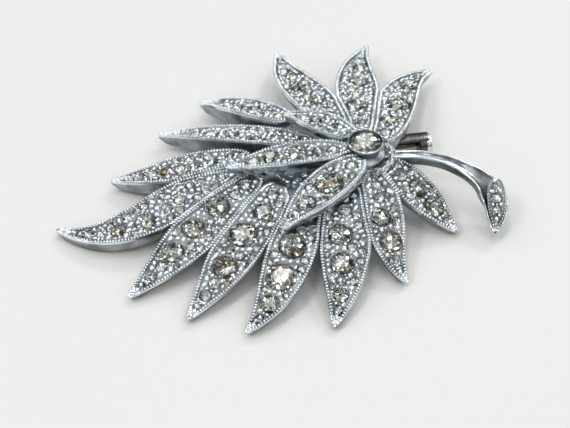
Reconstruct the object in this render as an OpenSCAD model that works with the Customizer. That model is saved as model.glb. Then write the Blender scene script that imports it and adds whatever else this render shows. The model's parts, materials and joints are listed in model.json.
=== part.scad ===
// Leaf brooch: a two-tier spray of stone-set leaflets on a curved stem.
// Millimetres. X runs along the leaf towards the stem, Y away from the viewer, Z up.
// The brooch lies on its back: the front leaflet tips and the pin finding stand on z = 0.

/* [Leaflets] */
// Height of a leaflet's side wall at its heel
wall_h = 2.1; // [1.9:0.1:2.2]
// Height of a leaflet's side wall at its tip
tip_wall_h = 1.2; // [1.1:0.1:1.4]
// Width of the raised rim round each leaflet
rim_w = 0.5; // [0.4:0.05:0.6]
// Depth of the stone bed below the rim
bed_depth = 1.1; // [1.05:0.05:1.2]
// Width of every leaflet against the tables below
width_scale = 1; // [0.98:0.01:1.04]

/* [Stones] */
// Diameter of the centre stone
centre_d = 4.6; // [4.3:0.1:4.7]
// Depth of the girdle below the rim
girdle_drop = 0.3; // [0.2:0.05:0.35]
// Table of a stone against its diameter
table_share = 0.56; // [0.5:0.02:0.62]
// Free space between neighbouring stones
stone_gap = 0.18; // [0.14:0.02:0.3]

/* [Centre] */
// Height of the rim of the centre cup above the table
centre_top = 10.6; // [10.4:0.1:11]
// Wall of the centre cup
cup_wall = 0.4; // [0.3:0.05:0.6]

/* [Stem] */
// Width of the stem before it widens into its spoon
stem_w = 1.9; // [1.7:0.1:2.1]
// Depth of the trough between the stem's rims
groove = 0.7; // [0.6:0.05:0.8]
// Width of the stem's rims
stem_rim = 0.4; // [0.3:0.05:0.5]

/* [Pin] */
// Radius of the pin wire
wire_r = 0.45; // [0.4:0.05:0.6]
// Length of the finding from hinge to catch
pin_l = 24; // [22:0.5:25]

/* [Hidden] */
// Plan position of the hub's axis, which puts the middle of the box at x = 0, y = 0
hub = [12.12, -1, 0];

// Columns of the leaflet tables: heel and tip (x, y, height of the rim, from the hub),
// greatest width, sideways sweep, upward crown, roll in degrees, the x of the backbone
// point that the heel springs from, and how much deeper the side walls are near the tip.
HEEL_X = 0;
HEEL_Y = 1;
HEEL_Z = 2;
TIP_X = 3;
TIP_Y = 4;
TIP_Z = 5;
WIDTH = 6;
SWEEP = 7;
CROWN = 8;
ROLL = 9;
ROOT_X = 10;
BELLY = 11;

outer = [
    [-2.9, 6.2, 7.2, -12.8, 28.8, 3.2, 6.5, -1.3, 0.6, 0, 0, 0],
    [-0.3, 5.2, 7.4, 1.6, 30.1, 3.2, 7.0, -1.3, 0.6, 0, 0, 0],
    [2.6, 3.8, 7.4, 11.8, 24.3, 3.2, 6.6, -1.9, 0.6, 0, 0, 0],
    [3.2, -0.8, 7.2, 13.4, -9.1, 1.1, 6.0, 0.1, 0.5, 0, 1, 0],
    [1.1, -3.0, 7.2, 5.4, -18.9, 1.1, 6.2, 0.9, 0.8, 0, 1, 0],
    [-2.7, -5.0, 6.9, -5.0, -26.9, 1.1, 7.5, -0.7, 0.8, 0, -1, 0],
    [-8.0, -8.6, 6.5, -16.9, -27.9, 1.1, 7.0, -1.3, 0.8, 3, -6, 0],
    [-12.4, -4.6, 6.2, -25.0, -25.5, 1.1, 7.4, -0.5, 0.8, 4, -9, 0],
    [-15.8, -2.4, 6.0, -33.3, -21.5, 1.1, 7.5, -0.4, 0.8, 5, -12, 0],
    [-18.6, -1.8, 5.7, -44.8, -8.7, 1.1, 6.9, -4.1, 0.8, 3, -14, 0.9],
    [-17.0, 1.0, 6.4, -37.7, 0.8, 1.6, 5.8, -0.6, 0.8, -4, -14, 1.1],
    [-7.8, 4.2, 6.8, -31.2, 10.5, 2.0, 5.0, 0.3, 0.8, -10, -7, 1.1],
    [-10.9, 9.8, 6.2, -25.1, 17.7, 2.2, 5.2, 0.3, 0.8, -10, -8, 1.1],
];

upper = [
    [-1.6, 2.5, 9.6, -11.8, 8.4, 8.2, 5.3, 0.4, 0.5, -8, 0, 0],
    [-2.5, -0.6, 9.7, -20.2, -2.6, 7.7, 4.8, 0, 0.9, 0, 0, 0.3],
    [-0.8, -2.5, 9.6, -12.1, -14.7, 7.6, 6.1, 0.3, 0.6, 0, 0, 0],
];

plate = [18.95, -3.5, 6.3, 18.6, -10.2, 2.2, 2.9, -0.2, 0.4, 0, 0, 0];

leaves = concat(outer, upper, [plate]);

// Columns of the width law along a leaflet: place, share of the width, share of the depth.
PLACE = 0;
SHARE = 1;
DEPTH = 2;

law = [
    [0, 0.42, 0.1],
    [0.04, 0.62, 0.8],
    [0.12, 0.8, 1],
    [0.24, 0.94, 1],
    [0.38, 1, 1],
    [0.52, 0.97, 1],
    [0.66, 0.83, 1],
    [0.78, 0.62, 1],
    [0.88, 0.4, 0.85],
    [0.95, 0.23, 0.5],
    [1, 0.1, 0.1],
];

// Where the small stones of each leaf begin: down the middle, on the left and on the right
// of someone who looks from the heel to the tip. Overlaps with the next leaf hold none.
MIDDLE = 0;
LEFT = 1;
RIGHT = 2;

starts = [
    [0.18, 0.2, 0.42],
    [0.12, 0.4, 0.46],
    [0.1, 0.46, 0.16],
    [0.22, 0.22, 0.34],
    [0.14, 0.2, 0.4],
    [0.12, 0.44, 0.2],
    [0.14, 0.2, 0.2],
    [0.08, 0.2, 0.46],
    [0.1, 0.56, 0.5],
    [0.34, 0.6, 0.4],
    [0.26, 0.42, 0.3],
    [0.22, 0.2, 0.2],
    [0.12, 0.2, 0.2],
    [0.12, 0.2, 0.2],
    [0.12, 0.2, 0.2],
    [0.12, 0.2, 0.2],
    [0.16, 0.3, 0.3],
];

// Columns of the stones: leaf (from 1, outer before upper), place, shift to the side, diameter.
LEAF = 0;
AT = 1;
SHIFT = 2;
DIA = 3;

mains = [
    [1, 0.34, 0.1, 2.2],
    [1, 0.53, 0, 3.1],
    [1, 0.68, 0.4, 2.4],
    [2, 0.29, -0.4, 3.3],
    [2, 0.56, 0.3, 3.1],
    [2, 0.74, 0.3, 2.1],
    [3, 0.24, -0.2, 2.7],
    [3, 0.44, 0.5, 3.8],
    [3, 0.69, 0.6, 2.2],
    [4, 0.43, -0.4, 2.9],
    [4, 0.68, -0.2, 3.1],
    [5, 0.44, 0.3, 2.9],
    [5, 0.66, -0.3, 3.3],
    [6, 0.39, 0.7, 3.5],
    [6, 0.59, 0.3, 3.4],
    [6, 0.8, 0, 2.1],
    [7, 0.36, 0.1, 3.9],
    [7, 0.59, 0.1, 4.2],
    [7, 0.78, -0.1, 2.7],
    [8, 0.22, -0.3, 3.1],
    [8, 0.41, 0.4, 4.1],
    [8, 0.64, 0, 3.6],
    [9, 0.3, 0.6, 3.7],
    [9, 0.49, 0.8, 3.4],
    [9, 0.67, 0.3, 3.3],
    [10, 0.55, -0.5, 3.1],
    [10, 0.69, -0.3, 2.2],
    [11, 0.4, -0.2, 1.9],
    [11, 0.6, 0.1, 2.0],
    [12, 0.35, -0.8, 1.8],
    [12, 0.5, -0.4, 1.8],
    [13, 0.4, 0.2, 1.9],
    [13, 0.56, -0.6, 1.9],
    [14, 0.25, 0.5, 1.8],
    [14, 0.55, 0.4, 2.4],
    [15, 0.24, -0.3, 2.2],
    [15, 0.43, 0.2, 3.1],
    [15, 0.64, 0.2, 2.5],
    [16, 0.4, -0.1, 4.2],
    [16, 0.68, -0.1, 2.8],
];

// Columns of the stem's sections: middle of the top (x, y, z), share of the width, depth.
STEM_W = 3;
STEM_H = 4;

stem_rows = [
    [1.5, 1.2, 7.0, 1.05, 2.2],
    [4.7, 0.7, 7.4, 0.78, 2.0],
    [7.8, 0.4, 7.7, 0.8, 1.9],
    [9.9, 0.05, 7.6, 0.83, 1.8],
    [11.9, -0.55, 7.5, 0.92, 1.8],
    [13.9, -1.45, 7.2, 1.12, 1.8],
    [15.7, -2.65, 6.9, 1.42, 1.8],
    [17.2, -3.8, 6.3, 1.75, 1.9],
    [18.2, -4.85, 5.4, 2.1, 2.0],
    [18.9, -6.4, 4.3, 2, 1.8],
    [18.9, -8.2, 3.1, 1.42, 1.5],
    [18.75, -9.5, 2.3, 0.78, 1.2],
    [18.6, -10.3, 1.9, 0.26, 1.0],
];

// Pin finding: its hinge from the hub, its turn, and the posts (place along it, height of the top)
pin_at = [-14, 5.6, 0];
pin_turn = 8;
posts = [
    [3, 5.0],
    [17, 5.6],
];
post_r = 1.3;
bar_z = 2.7;
bar_h = 0.7;
bar_w = 1.8;
wire_z = 1.6;

boss_r = 3.1;
boss_top = 7.4;
crown_share = 0.16;
main_depth = 0.22;
knob_r = 0.5;
small_depth = 0.38;

function stone_name(m, i) =
    str("stone_", m[LEAF], "_", len([for (k = [0:i]) if (mains[k][LEAF] == m[LEAF]) 1]));

function unit(v) = v / norm(v);

function heel(l) = [l[HEEL_X], l[HEEL_Y], l[HEEL_Z]];

function tip(l) = [l[TIP_X], l[TIP_Y], l[TIP_Z]];

// Point on the middle of a leaflet's rim plane, at a share t of its length
function spine(l, t) =
    let (run = tip(l) - heel(l), side = unit([run.y, -run.x, 0]))
    heel(l) + run * t + side * l[SWEEP] * 6.75 * t * t * (1 - t) + [0, 0, l[CROWN] * 4 * t * (1 - t)];

function along(l, t) = unit(spine(l, min(t + 0.02, 1)) - spine(l, max(t - 0.02, 0)));

function level_side(l, t) = let (a = along(l, t)) unit([a.y, -a.x, 0]);

function across(l, t) =
    let (s = level_side(l, t), n = cross(s, along(l, t)))
    s * cos(l[ROLL]) + n * sin(l[ROLL]);

function upward(l, t) = cross(across(l, t), along(l, t));

function half_width(l, t) = l[WIDTH] * width_scale * lookup(t, [for (r = law) [r[PLACE], r[SHARE]]]) / 2;

function bed_half(l, t) = let (w = half_width(l, t)) w - min(rim_w, w * 0.5);

// One section of a leaflet: rim tops, bed floor and the drafted outer walls
function section(l, row) =
    let (
        t = row[PLACE],
        w = half_width(l, t),
        b = bed_half(l, t),
        d = bed_depth * row[DEPTH],
        h = wall_h + (tip_wall_h - wall_h) * t + l[BELLY] * 6.75 * t * t * (1 - t),
        c = spine(l, t),
        s = across(l, t),
        n = upward(l, t)
    )
    [
        c - s * w,
        c - s * b,
        c - s * b * 0.96 - n * d,
        c + s * b * 0.96 - n * d,
        c + s * b,
        c + s * w,
        c + s * w * 0.86 - n * h,
        c - s * w * 0.86 - n * h,
    ];

// Faces of a skin through rings of points, with closed ends
function skin_faces(rows, ring) = concat(
    [for (i = [0:rows - 2]) for (j = [0:ring - 1]) [i * ring + j, (i + 1) * ring + j, i * ring + (j + 1) % ring]],
    [
        for (i = [0:rows - 2]) for (j = [0:ring - 1])
            [(i + 1) * ring + j, (i + 1) * ring + (j + 1) % ring, i * ring + (j + 1) % ring]
    ],
    [[for (j = [0:ring - 1]) j]],
    [[for (j = [0:ring - 1]) rows * ring - 1 - j]]
);

module leaflet(l) {
    rings = [for (row = law) each section(l, row)];
    polyhedron(points = rings, faces = skin_faces(len(law), 8));
}

// Webs of metal under the beds tie every heel to the backbone
module web(l) {
    root = [l[ROOT_X], 0, 6.5 + 0.08 * l[ROOT_X]];
    hull() {
        translate(spine(l, 0.14) - [0, 0, bed_depth + 1.35]) cylinder(r = 1.7, h = 0.9, $fn = 6);
        translate(root - [0, 0, 1.6]) cylinder(r = 2.2, h = 1.6, $fn = 6);
    }
}

function stem_point(i) = [stem_rows[i].x, stem_rows[i].y, stem_rows[i].z];

function stem_along(i) = unit(stem_point(min(i + 1, len(stem_rows) - 1)) - stem_point(max(i - 1, 0)));

// One section of the stem: a trough between two thin rims
function stem_section(i) =
    let (
        c = stem_point(i),
        a = stem_along(i),
        s = unit([a.y, -a.x, 0]),
        n = cross(s, a),
        w = stem_w * stem_rows[i][STEM_W] / 2,
        r = min(stem_rim, w * 0.6),
        g = min(groove, w * 0.6),
        h = stem_rows[i][STEM_H]
    )
    [
        c - s * w - n * 0.4,
        c - s * (w - r * 0.4),
        c - s * (w - r),
        c - s * (w - r) * 0.5 - n * g,
        c + s * (w - r) * 0.5 - n * g,
        c + s * (w - r),
        c + s * (w - r * 0.4),
        c + s * w - n * 0.4,
        c + s * w * 0.6 - n * h,
        c - s * w * 0.6 - n * h,
    ];

module stem() {
    rings = [for (i = [0:len(stem_rows) - 1]) each stem_section(i)];
    polyhedron(points = rings, faces = skin_faces(len(stem_rows), 10));
}

// Moves a shape into the bed of a leaflet: its z axis is the bed's normal
module in_bed(l, t, shift, drop) {
    s = across(l, t);
    a = along(l, t);
    n = upward(l, t);
    c = spine(l, t) + s * shift - n * drop;
    multmatrix([
        [s.x, a.x, n.x, c.x],
        [s.y, a.y, n.y, c.y],
        [s.z, a.z, n.z, c.z],
    ]) children();
}

// Hollow that takes a large stone: a cone that widens from the stone's point to its girdle
module seat(d) {
    deep = main_depth * d + 0.15;
    hull() {
        translate([0, 0, -deep]) cylinder(r = 0.25, h = 0.1, $fn = 8);
        translate([0, 0, -0.05]) cylinder(r = d / 2 + 0.1, h = 0.1, $fn = 8);
    }
}

module seats(first, last) {
    for (m = mains) if (m[LEAF] >= first && m[LEAF] <= last)
        in_bed(leaves[m[LEAF] - 1], m[AT], m[SHIFT], girdle_drop) seat(m[DIA]);
}

// A stone with an eight-sided table, stars, kites and girdle facets
module brilliant(d) {
    table_r = d * table_share / 2;
    mid_r = d * 0.41;
    top = d * crown_share;
    mid_z = top * (d / 2 - mid_r * cos(22.5)) / (d / 2 - table_r);
    points = concat(
        [for (j = [0:7]) [table_r * cos(45 * j), table_r * sin(45 * j), top]],
        [for (j = [0:7]) [mid_r * cos(45 * j + 22.5), mid_r * sin(45 * j + 22.5), mid_z]],
        [for (j = [0:15]) [d / 2 * cos(22.5 * j), d / 2 * sin(22.5 * j), 0]],
        [[0, 0, -main_depth * d]]
    );
    faces = concat(
        [[for (j = [0:7]) 7 - j]],
        [for (j = [0:7]) [j, (j + 1) % 8, 8 + j]],
        [for (j = [0:7]) [j, 8 + j, 16 + 2 * j, 8 + (j + 7) % 8]],
        [for (j = [0:7]) [8 + j, 17 + 2 * j, 16 + 2 * j]],
        [for (j = [0:7]) [8 + j, 16 + (2 * j + 2) % 16, 17 + 2 * j]],
        [for (j = [0:15]) [16 + j, 16 + (j + 1) % 16, 32]]
    );
    polyhedron(points = points, faces = faces);
}

// A small stone: a table and eight facets over an eight-sided point
module single_cut(d) {
    hull() {
        cylinder(r1 = d / 2, r2 = d * table_share / 2, h = d * crown_share, $fn = 8);
        translate([0, 0, -small_depth * d]) cylinder(r1 = 0, r2 = d / 2, h = small_depth * d, $fn = 8);
    }
}

function leaf_length(l) = norm(tip(l) - heel(l));

function apart(a, b, l) =
    norm([(a[AT] - b[AT]) * leaf_length(l), a[SHIFT] - b[SHIFT]]) - (a[DIA] + b[DIA]) / 2;

function is_free(s, kept, l) = len([for (k = kept) if (apart(s, k, l) < stone_gap) k]) == 0;

// Goes through the waiting places in order and keeps those clear of every stone kept before
function pick(waiting, kept, l, i) =
    i == len(waiting) ? kept
    : pick(waiting, is_free(waiting[i], kept, l) ? concat(kept, [waiting[i]]) : kept, l, i + 1);

// Waiting places for a leaflet's small stones: down the middle first, then along both sides
function waiting_places(leaf) =
    let (l = leaves[leaf - 1], last = 0.92, step = 0.3 / leaf_length(l))
    concat(
        [
            for (t = [starts[leaf - 1][MIDDLE]:step:last])
                let (d = min(1.7, 2 * bed_half(l, t) - 0.3)) if (d > 0.75) [leaf, t, 0, d]
        ],
        [
            for (side = [-1, 1]) for (t = [starts[leaf - 1][side < 0 ? LEFT : RIGHT]:step:last])
                let (b = bed_half(l, t), d = 1.2) if (b > 1.5) [leaf, t, side * (b - d / 2 - 0.15), d]
        ],
        [
            for (side = [-1, 1]) for (t = [starts[leaf - 1][side < 0 ? LEFT : RIGHT]:step:last])
                let (b = bed_half(l, t), d = 0.9) if (b > 1) [leaf, t, side * (b - d / 2 - 0.15), d]
        ]
    );

function smalls_of(leaf) =
    let (large = [for (m = mains) if (m[LEAF] == leaf) m], all = pick(waiting_places(leaf), large, leaves[leaf - 1], 0))
    [for (i = [0:len(all) - 1]) if (i >= len(large)) all[i]];

module smalls(first, last) {
    for (leaf = [first:last]) for (s = smalls_of(leaf))
        in_bed(leaves[leaf - 1], s[AT], s[SHIFT], girdle_drop) single_cut(s[DIA]);
}

// Along the pin finding: x from the hinge to the catch
module on_pin() {
    translate(pin_at) rotate([0, 0, pin_turn]) children();
}

module leaf_casting() {
    color("silver") translate(hub) difference() {
        union() {
            for (l = outer) {
                leaflet(l);
                web(l);
            }
            translate([0, 0, 4.6]) cylinder(r = boss_r, h = boss_top - 4.6, $fn = 16);
            stem();
            infill();
            leaflet(plate);
            translate(tip(outer[1])) sphere(r = knob_r, $fn = 10);
            on_pin() for (p = posts)
                translate([p.x, 0, bar_z + bar_h + 0.1]) cylinder(r = post_r, h = p.y - bar_z - bar_h - 0.1, $fn = 10);
        }
        seats(1, 13);
        translate([-60, -60, -6]) cube([120, 120, 6]);
    }
}

// Low plate that closes the space between the heels of the seventh and eighth leaflets
module infill() {
    hull() {
        translate([-10, -4.7, 4.2]) cylinder(r = 1.5, h = 1.5, $fn = 6);
        translate([-11, -9.2, 4.2]) cylinder(r = 0.7, h = 1.3, $fn = 6);
    }
}

// Low foot that the upper tier stands on
module foot() {
    hull() {
        cylinder(r = boss_r - 0.2, h = 0.8, $fn = 16);
        cylinder(r = boss_r - 0.9, h = 1.3, $fn = 16);
    }
}

// Round cup for the centre stone, narrower at its foot
module cup() {
    cup_r = centre_d / 2 + 0.06 + cup_wall;
    hull() {
        translate([0, 0, boss_top + 0.5]) cylinder(r = cup_r - 0.3, h = 0.2, $fn = 24);
        translate([0, 0, centre_top - 1.1]) cylinder(r = cup_r, h = 1.1, $fn = 24);
    }
}

module upper_spray() {
    color("gainsboro") translate(hub) difference() {
        union() {
            for (l = upper) leaflet(l);
            translate([0, 0, boss_top + 0.1]) foot();
            cup();
        }
        translate([0, 0, centre_top - 0.5 - main_depth * centre_d - 0.3])
            cylinder(r = centre_d / 2 + 0.06, h = 4, $fn = 24);
        seats(14, 16);
    }
}

module centre_stone() {
    color("lightgrey") translate(hub + [0, 0, centre_top - 0.5]) brilliant(centre_d);
}

module main_stone(leaf, place) {
    m = [for (k = mains) if (k[LEAF] == leaf) k][place - 1];
    color("lightgrey") translate(hub) in_bed(leaves[leaf - 1], m[AT], m[SHIFT], girdle_drop) brilliant(m[DIA]);
}

module pave_outer() {
    color("lightgrey") translate(hub) smalls(1, 13);
}

module pave_upper() {
    color("lightgrey") translate(hub) smalls(14, 17);
}

module pin_back() {
    color("dimgray") translate(hub) on_pin() {
        translate([-1.5, -bar_w / 2, bar_z]) cube([pin_l + 1.4, bar_w, bar_h]);
        translate([pin_l - 0.1, 0, bar_z]) cylinder(r = bar_w / 2, h = bar_h, $fn = 48);
        translate([-1.5, -bar_w / 2, 0]) cube([2.6, bar_w, bar_z + 0.2]);
        translate([0, 0, wire_z]) rotate([0, 90, 0]) cylinder(r = wire_r, h = pin_l, $fn = 48);
        translate([pin_l - 1.1, 0, wire_z]) rotate([0, 90, 0]) difference() {
            cylinder(r = wire_z, h = 2.2, $fn = 48);
            translate([0, 0, -1]) cylinder(r = 0.8, h = 5, $fn = 48);
        }
    }
}

leaf_casting();
upper_spray();
centre_stone();
pave_outer();
pave_upper();
pin_back();
main_stone(1, 1);  // stone_1_1
main_stone(1, 2);  // stone_1_2
main_stone(1, 3);  // stone_1_3
main_stone(2, 1);  // stone_2_1
main_stone(2, 2);  // stone_2_2
main_stone(2, 3);  // stone_2_3
main_stone(3, 1);  // stone_3_1
main_stone(3, 2);  // stone_3_2
main_stone(3, 3);  // stone_3_3
main_stone(4, 1);  // stone_4_1
main_stone(4, 2);  // stone_4_2
main_stone(5, 1);  // stone_5_1
main_stone(5, 2);  // stone_5_2
main_stone(6, 1);  // stone_6_1
main_stone(6, 2);  // stone_6_2
main_stone(6, 3);  // stone_6_3
main_stone(7, 1);  // stone_7_1
main_stone(7, 2);  // stone_7_2
main_stone(7, 3);  // stone_7_3
main_stone(8, 1);  // stone_8_1
main_stone(8, 2);  // stone_8_2
main_stone(8, 3);  // stone_8_3
main_stone(9, 1);  // stone_9_1
main_stone(9, 2);  // stone_9_2
main_stone(9, 3);  // stone_9_3
main_stone(10, 1);  // stone_10_1
main_stone(10, 2);  // stone_10_2
main_stone(11, 1);  // stone_11_1
main_stone(11, 2);  // stone_11_2
main_stone(12, 1);  // stone_12_1
main_stone(12, 2);  // stone_12_2
main_stone(13, 1);  // stone_13_1
main_stone(13, 2);  // stone_13_2
main_stone(14, 1);  // stone_14_1
main_stone(14, 2);  // stone_14_2
main_stone(15, 1);  // stone_15_1
main_stone(15, 2);  // stone_15_2
main_stone(15, 3);  // stone_15_3
main_stone(16, 1);  // stone_16_1
main_stone(16, 2);  // stone_16_2
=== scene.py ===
import json
import math

import bmesh
import bpy
import numpy as np
from mathutils import Matrix, Vector

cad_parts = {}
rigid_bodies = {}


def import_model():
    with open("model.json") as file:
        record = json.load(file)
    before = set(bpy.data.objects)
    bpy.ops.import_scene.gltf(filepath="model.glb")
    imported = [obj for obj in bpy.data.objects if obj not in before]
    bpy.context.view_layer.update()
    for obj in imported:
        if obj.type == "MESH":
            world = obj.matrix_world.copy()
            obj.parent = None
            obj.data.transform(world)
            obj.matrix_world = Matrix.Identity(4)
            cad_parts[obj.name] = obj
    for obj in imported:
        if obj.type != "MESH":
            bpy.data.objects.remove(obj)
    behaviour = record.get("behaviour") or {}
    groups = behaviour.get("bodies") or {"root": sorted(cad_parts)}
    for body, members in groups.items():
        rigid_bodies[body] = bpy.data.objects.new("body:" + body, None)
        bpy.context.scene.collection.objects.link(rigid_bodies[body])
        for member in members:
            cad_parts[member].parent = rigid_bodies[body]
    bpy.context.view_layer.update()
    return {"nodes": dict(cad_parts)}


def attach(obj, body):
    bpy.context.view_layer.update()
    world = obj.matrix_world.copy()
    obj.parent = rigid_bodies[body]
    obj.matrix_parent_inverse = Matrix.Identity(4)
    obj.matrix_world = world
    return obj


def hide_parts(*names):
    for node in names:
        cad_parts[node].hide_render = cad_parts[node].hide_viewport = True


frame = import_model()


# PLATED METAL
# The whole mount is white metal castings, soldered together and plated bright and slightly blue.
# The plating is polished on rims and stem and keeps the grain of the mould on the side walls.
# Its darker copies are painted shade, on walls, webs and under parts and darker still in beds,
# seats and the stem's channel; a lighter copy on the upper tier's walls is painted light.


class Wire:
    """One output of a material's node tree. Sums and products with it add Math nodes there."""

    def __init__(self, tree, socket):
        self.tree = tree
        self.socket = socket

    def node(self, kind, settings, inputs, output=0):
        made = self.tree.nodes.new(kind)
        for key, value in settings.items():
            if key == "stops":
                ramp = made.color_ramp
                while len(ramp.elements) < len(value):
                    ramp.elements.new(0.5)
                for element, (place, colour) in zip(ramp.elements, value):
                    element.position = place
                    element.color = (*colour, 1)
            else:
                setattr(made, key, value)
        for key, value in inputs.items():
            if isinstance(value, Wire):
                self.tree.links.new(value.socket, made.inputs[key])
            else:
                made.inputs[key].default_value = value
        return Wire(self.tree, made.outputs[output])

    def math(self, operation, first, second):
        return self.node("ShaderNodeMath", {"operation": operation}, {0: first, 1: second})

    def vector(self, operation, first, second, output=0):
        inputs = {0: first, 1: second}
        return self.node("ShaderNodeVectorMath", {"operation": operation}, inputs, output)

    def __add__(self, other):
        return self.math("ADD", self, other)

    def __mul__(self, other):
        return self.math("MULTIPLY", self, other)

    __radd__ = __add__
    __rmul__ = __mul__


def new_finish(name):
    """A material with its Principled shader, and a wire of the piece's own coordinates."""
    finish = bpy.data.materials.new(name)
    finish.use_nodes = True
    tree = finish.node_tree
    shader = tree.nodes["Principled BSDF"]
    coordinates = tree.nodes.new("ShaderNodeTexCoord")
    return finish, shader, Wire(tree, coordinates.outputs["Object"])


def speckle(place, scale, detail=2.0):
    """Noise with so many patches to the metre."""
    return place.node("ShaderNodeTexNoise", {}, {"Vector": place, "Scale": scale, "Detail": detail})


CLOUDS_PER_METRE = 420
GRAINS_PER_METRE = 5200
GRAIN_DEPTH = 0.00005


def plating(name, light, dark, smooth, rough, grain):
    """Plated metal: clouds from dark to light, roughness from smooth to rough, a cast grain."""
    finish, shader, place = new_finish(name)
    cloud = speckle(place, CLOUDS_PER_METRE)
    fine = speckle(place, GRAINS_PER_METRE, 3.0)
    colour = cloud.node(
        "ShaderNodeValToRGB", {"stops": [(0.32, dark), (0.62, light)]}, {"Fac": cloud}
    )
    bump = fine.node(
        "ShaderNodeBump", {}, {"Strength": grain, "Distance": GRAIN_DEPTH, "Height": fine}
    )
    shader.inputs["Metallic"].default_value = 1.0
    place.tree.links.new(colour.socket, shader.inputs["Base Color"])
    place.tree.links.new((smooth + (rough - smooth) * fine).socket, shader.inputs["Roughness"])
    place.tree.links.new(bump.socket, shader.inputs["Normal"])
    return finish


polished = plating("polished_plating", (0.86, 0.91, 0.94), (0.66, 0.7, 0.74), 0.08, 0.26, 0.18)
beaded = plating("beaded_plating", (0.92, 0.96, 1.0), (0.66, 0.7, 0.75), 0.12, 0.32, 0.2)
# The cast plating's grain and roughness are its own; its colour, darker than the polished, is
# painted shade.
cast = plating("cast_plating_and_painted_shade", (0.42, 0.445, 0.47), (0.2, 0.21, 0.22), 0.18, 0.4, 0.6)
# Painted shade: a dark copy of the plating for the beds, the rims between the beads, the stem's
# undersides and spoon, and the cup's flare.
painted_shade = plating("painted_shade_metal", (0.31, 0.325, 0.34), (0.09, 0.095, 0.1), 0.25, 0.5, 0.9)
# Painted shade: a dark copy of the plating for the stones' seats.
seat_shade = plating("seat_painted_shade", (0.26, 0.26, 0.25), (0.08, 0.08, 0.075), 0.25, 0.5, 0.4)


# STONE PLACES
# Every stone of the brooch is a solid of the frame. The jeweller's seats, rings and beads follow
# the places, axes and sizes of these stones, which are read here from the stones themselves.

MM = 0.001
SAME_POINT = 0.000002
GIRDLE_FROM = 0.97  # share of the widest reach that counts as the girdle


def stones_in(node):
    """Girdle centre, axis and diameter of each loose stone in a node of the frame."""
    shape = bmesh.new()
    shape.from_mesh(frame["nodes"][node].data)
    bmesh.ops.remove_doubles(shape, verts=shape.verts, dist=SAME_POINT)
    found = []
    seen = set()
    for first in shape.verts:
        if first in seen:
            continue
        seen.add(first)
        loose = [first]
        for vert in loose:  # the list grows as it is walked
            for edge in vert.link_edges:
                other = edge.other_vert(vert)
                if other not in seen:
                    seen.add(other)
                    loose.append(other)
        points = np.array([vert.co[:] for vert in loose])
        middle = points.mean(axis=0)
        axis = np.linalg.svd(points - middle)[2][2]
        axis = axis if axis[2] > 0 else -axis
        flat = (points - middle) - np.outer((points - middle) @ axis, axis)
        out = np.linalg.norm(flat, axis=1)
        girdle = points[out > out.max() * GIRDLE_FROM].mean(axis=0)
        found.append((Vector(girdle), Vector(axis), 2 * float(out.max())))
    shape.free()
    return found


main_nodes = sorted(n for n in frame["nodes"] if n.startswith("stone_"))
stones = []
for node in [*main_nodes, "pave_outer", "pave_upper"]:
    stones += stones_in(node)


# LOWER CASTING
# Thirteen stone-set leaflets, cast with side walls, a raised rim and a bed that the stone seats
# are cut into. Webs under the beds tie each leaflet to the hub that all of it hangs from.

HUB = Vector((12.12, -1.0, 0.0))

# Heel x, y, height; tip x, y, height; then the columns named here. Millimetres and degrees.
# Belly is how much deeper the side walls get beyond the middle.
WIDTH, SWEEP, CROWN, ROLL, BACKBONE, BELLY = range(6, 12)
outer_leaves = [
    (-2.9, 6.2, 7.2, -12.8, 28.8, 3.2, 6.5, -1.3, 0.6, 0, 0, 0),
    (-0.3, 5.2, 7.4, 1.6, 30.1, 3.2, 7.0, -1.3, 0.6, 0, 0, 0),
    (2.6, 3.8, 7.4, 11.8, 24.3, 3.2, 6.6, -1.9, 0.6, 0, 0, 0),
    (3.2, -0.8, 7.2, 13.4, -9.1, 1.1, 6.0, 0.1, 0.5, 0, 1, 0),
    (1.1, -3.0, 7.2, 5.4, -18.9, 1.1, 6.2, 0.9, 0.8, 0, 1, 0),
    (-2.7, -5.0, 6.9, -5.0, -26.9, 1.1, 7.5, -0.7, 0.8, 0, -1, 0),
    (-8.0, -8.6, 6.5, -16.9, -27.9, 1.1, 7.0, -1.3, 0.8, 3, -6, 0),
    (-12.4, -4.6, 6.2, -25.0, -25.5, 1.1, 7.4, -0.5, 0.8, 4, -9, 0),
    (-15.8, -2.4, 6.0, -33.3, -21.5, 1.1, 7.5, -0.4, 0.8, 5, -12, 0),
    (-18.6, -1.8, 5.7, -44.8, -8.7, 1.1, 6.9, -4.1, 0.8, 3, -14, 0.9),
    (-17.0, 1.0, 6.4, -37.7, 0.8, 1.6, 5.8, -0.6, 0.8, -4, -14, 1.1),
    (-7.8, 4.2, 6.8, -31.2, 10.5, 2.0, 5.0, 0.3, 0.8, -10, -7, 1.1),
    (-10.9, 9.8, 6.2, -25.1, 17.7, 2.2, 5.2, 0.3, 0.8, -10, -8, 1.1),
]

upper_leaves = [
    (-1.6, 2.5, 9.6, -11.8, 8.4, 8.2, 5.3, 0.4, 0.5, -8, 0, 0),
    (-2.5, -0.6, 9.7, -20.2, -2.6, 7.7, 4.8, 0, 0.9, 0, 0, 0.3),
    (-0.8, -2.5, 9.6, -12.1, -14.7, 7.6, 6.1, 0.3, 0.6, 0, 0, 0),
]

plate = (18.95, -3.5, 6.3, 18.6, -10.2, 2.2, 2.9, -0.2, 0.4, 0, 0, 0)

# Place along a leaflet, share of its width, share of the bed's depth.
width_law = [
    (0, 0.3, 0),
    (0.015, 0.48, 0.3),
    (0.04, 0.64, 1),
    (0.12, 0.8, 1),
    (0.24, 0.94, 1),
    (0.38, 1, 1),
    (0.52, 0.97, 1),
    (0.66, 0.83, 1),
    (0.78, 0.62, 1),
    (0.88, 0.4, 1),
    (0.95, 0.24, 0.6),
    (0.98, 0.17, 0.2),
    (1, 0.05, 0),
]


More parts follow.
